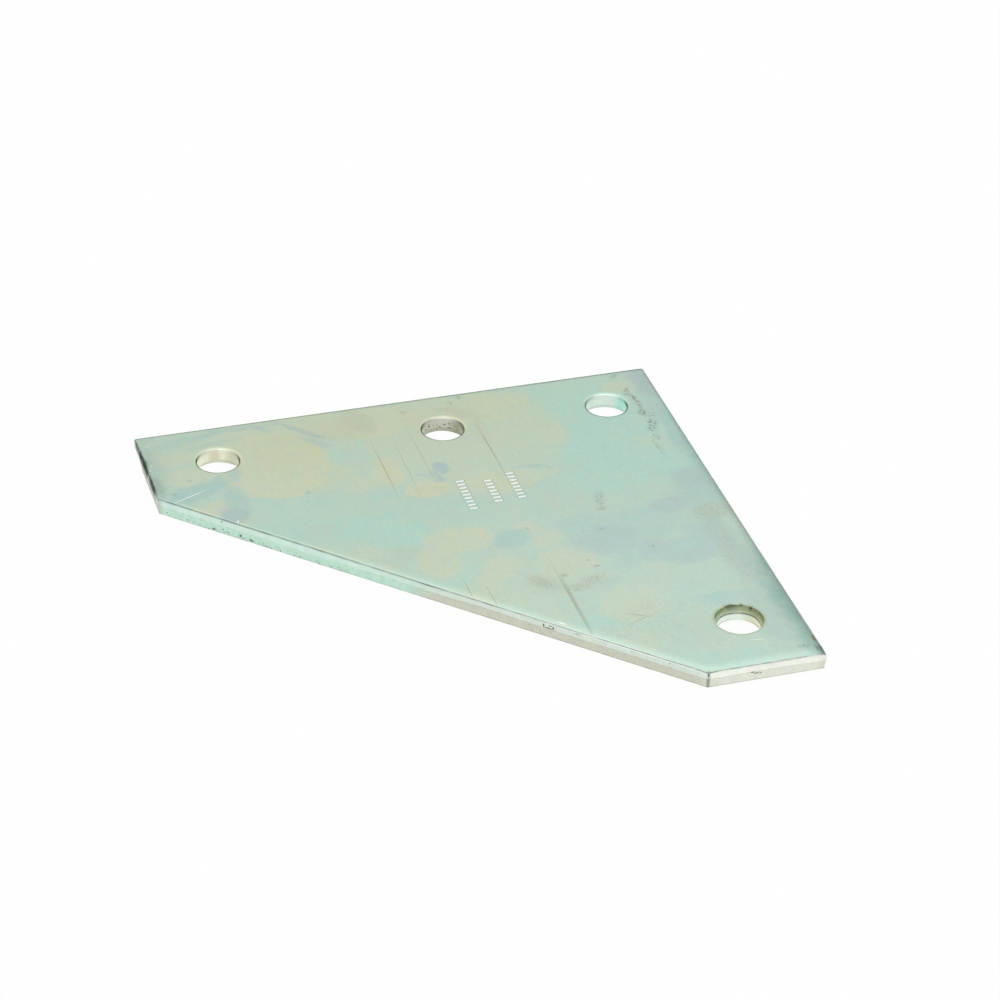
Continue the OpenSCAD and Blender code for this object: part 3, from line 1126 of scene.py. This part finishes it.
# The film's colour and the dirt are laid on the mesh's own points. Points of a
# wall less than ROLLED_IN down have the top face's colour, specks thin out up to
# SPECKS_TOP, and the black at the long end fades in over BLACK_FADE above BLACK_FOOT.
ROLLED_IN = 0.4
SPECKS_TOP = 2.4
BLACK_FOOT = 3.3
BLACK_FADE = 1.6
film = []
dirt_share = []
rub_share = []
for k, (x, y, z) in enumerate(vertices):
    x, y = x / MM, y / MM
    on_top = z > 0.5 * THICKNESS * MM
    if k < wall_vertex_count:
        rolled_in = torn_share[k] == 0 and z > (THICKNESS - ROLLED_IN) * MM
        film += film_colour(x, y) if rolled_in else edge_colour(x, y, torn_share[k])
        # Painted shade in the creases, kept where CREASES lie and varied a little
        crease_share[k] *= stain_share(x, y, CREASES) * (0.85 + 0.6 * ripple(x, y, 4, 2.9))
        if k < outline_vertex_count:
            low = max(0.0, 1 - z / MM / SPECKS_TOP)
            high = max(0.0, min(1.0, (z / MM - BLACK_FOOT) / BLACK_FADE))
            black = high * stain_share(x, y, LONG_END_BLACK)
            black *= 1.0 + 0.5 * ripple(x, y, 1.4, z / MM)
            crease_share[k] = max(crease_share[k], min(1.0, black))
        else:
            low = 1.0 if z < (THICKNESS - 1.0) * MM else 0.0
        dirt_share.append(low * stain_share(x, y, EDGE_SPECKS))
        rub_share.append(0.0)
        continue
    film += film_colour(x, y) if on_top else linear(BARE_FILM)
    dirt_share.append(stain_share(x, y, SPECKLED) if on_top else 0.0)
    rub_share.append(stain_share(x, y, BROWN_RUBS) if on_top else 0.0)
mesh.attributes.new("film", "FLOAT_COLOR", "POINT").data.foreach_set("color", film)
mesh.attributes.new("crease", "FLOAT", "POINT").data.foreach_set("value", crease_share)
mesh.attributes.new("dirt", "FLOAT", "POINT").data.foreach_set("value", dirt_share)
mesh.attributes.new("rubbed", "FLOAT", "POINT").data.foreach_set("value", rub_share)

for finish in (zinc_face, zinc_edge, zinc_edge, zinc_face):
    mesh.materials.append(finish)
mesh.polygons.foreach_set("material_index", face_finish)
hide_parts("corner_plate")
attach(plate, "root")


# The floor
# A plain white sweep under the plate. The camera and the metal see it as
# white, and it keeps the plate's soft shadow.
bpy.ops.mesh.primitive_plane_add(size=6, location=(0.05, 0.04, 0))
floor = bpy.context.object
floor.name = "studio_floor"
paper, tree = start_material("white_paper_sweep")
diffuse = add(tree, "ShaderNodeBsdfDiffuse", {"Color": linear("#F4F4F2")})
glow = add(tree, "ShaderNodeEmission", {"Color": (1, 1, 1, 1), "Strength": 1.0})
path = add(tree, "ShaderNodeLightPath")
seen_or_mirrored = {0: path.outputs["Is Camera Ray"], 1: path.outputs["Is Glossy Ray"]}
seen = add(tree, "ShaderNodeMath", seen_or_mirrored, operation="MAXIMUM")
white = add(tree, "ShaderNodeMath", {0: seen.outputs[0], 1: 0.95}, operation="MULTIPLY")
surface = add(
    tree, "ShaderNodeMixShader", {0: white.outputs[0], 1: diffuse.outputs[0], 2: glow.outputs[0]}
)
add(tree, "ShaderNodeOutputMaterial", {"Surface": surface.outputs[0]})
floor.data.materials.append(paper)


# The light
# A white studio whose walls darken towards the floor: the flat face mirrors
# its middle height, the rolled edges mirror its ceiling and its dark skirting.
# Each stop is (sine of the height above the horizon, brightness).
ROOM_LEVEL = 1.1
ROOM = [(0.0, 0.25), (0.22, 0.38), (0.38, 0.77), (0.52, 1.0), (0.64, 1.07), (0.82, 1.08), (1.0, 1.04)]
world = bpy.data.worlds.new("pale_studio_room")
bpy.context.scene.world = world
world.use_nodes = True
tree = world.node_tree
tree.nodes.clear()
coordinates = add(tree, "ShaderNodeTexCoord")
axes = add(tree, "ShaderNodeSeparateXYZ", {0: coordinates.outputs["Generated"]})
ramp = add(tree, "ShaderNodeValToRGB", {0: axes.outputs["Z"]})
stops = ramp.color_ramp.elements
for k, (height, brightness) in enumerate(ROOM):
    stop = stops[k] if k < 2 else stops.new(height)
    stop.position = height
    stop.color = (brightness / ROOM_LEVEL,) * 3 + (1,)
room = add(tree, "ShaderNodeBackground", {"Color": ramp.outputs[0], "Strength": ROOM_LEVEL})
add(tree, "ShaderNodeOutputWorld", {"Surface": room.outputs[0]})

lamp_data = bpy.data.lights.new("overhead_soft_box", "AREA")
lamp_data.shape = "RECTANGLE"
lamp_data.size = 1.6
lamp_data.size_y = 1.6
lamp_data.energy = 1.5
lamp = bpy.data.objects.new("overhead_soft_box", lamp_data)
lamp.location = (0.05, -0.1, 1.4)
bpy.context.scene.collection.objects.link(lamp)


# The camera
# It looks down on the plate from the short leg's end, as in the photo, with a
# long lens. Its place comes from fitting the plate's corners and holes.
CAMERA_PLACE = Vector((339.21, 931.78, 622.20))
CAMERA_TARGET = Vector((50.63, 38.89, 0.0))
CAMERA_ROLL = math.radians(1.649)
camera_data = bpy.data.cameras.new("product_camera")
camera_data.sensor_width = 36
camera_data.lens = 120.08
camera_data.clip_end = 20
camera = bpy.data.objects.new("product_camera", camera_data)
gaze = CAMERA_TARGET - CAMERA_PLACE
turn = gaze.to_track_quat("-Z", "Y").to_matrix().to_4x4()
camera.matrix_world = Matrix.Translation(CAMERA_PLACE * MM) @ turn @ Matrix.Rotation(CAMERA_ROLL, 4, "Z")
bpy.context.scene.collection.objects.link(camera)
bpy.context.scene.camera = camera
bpy.context.scene.view_settings.view_transform = "Standard"
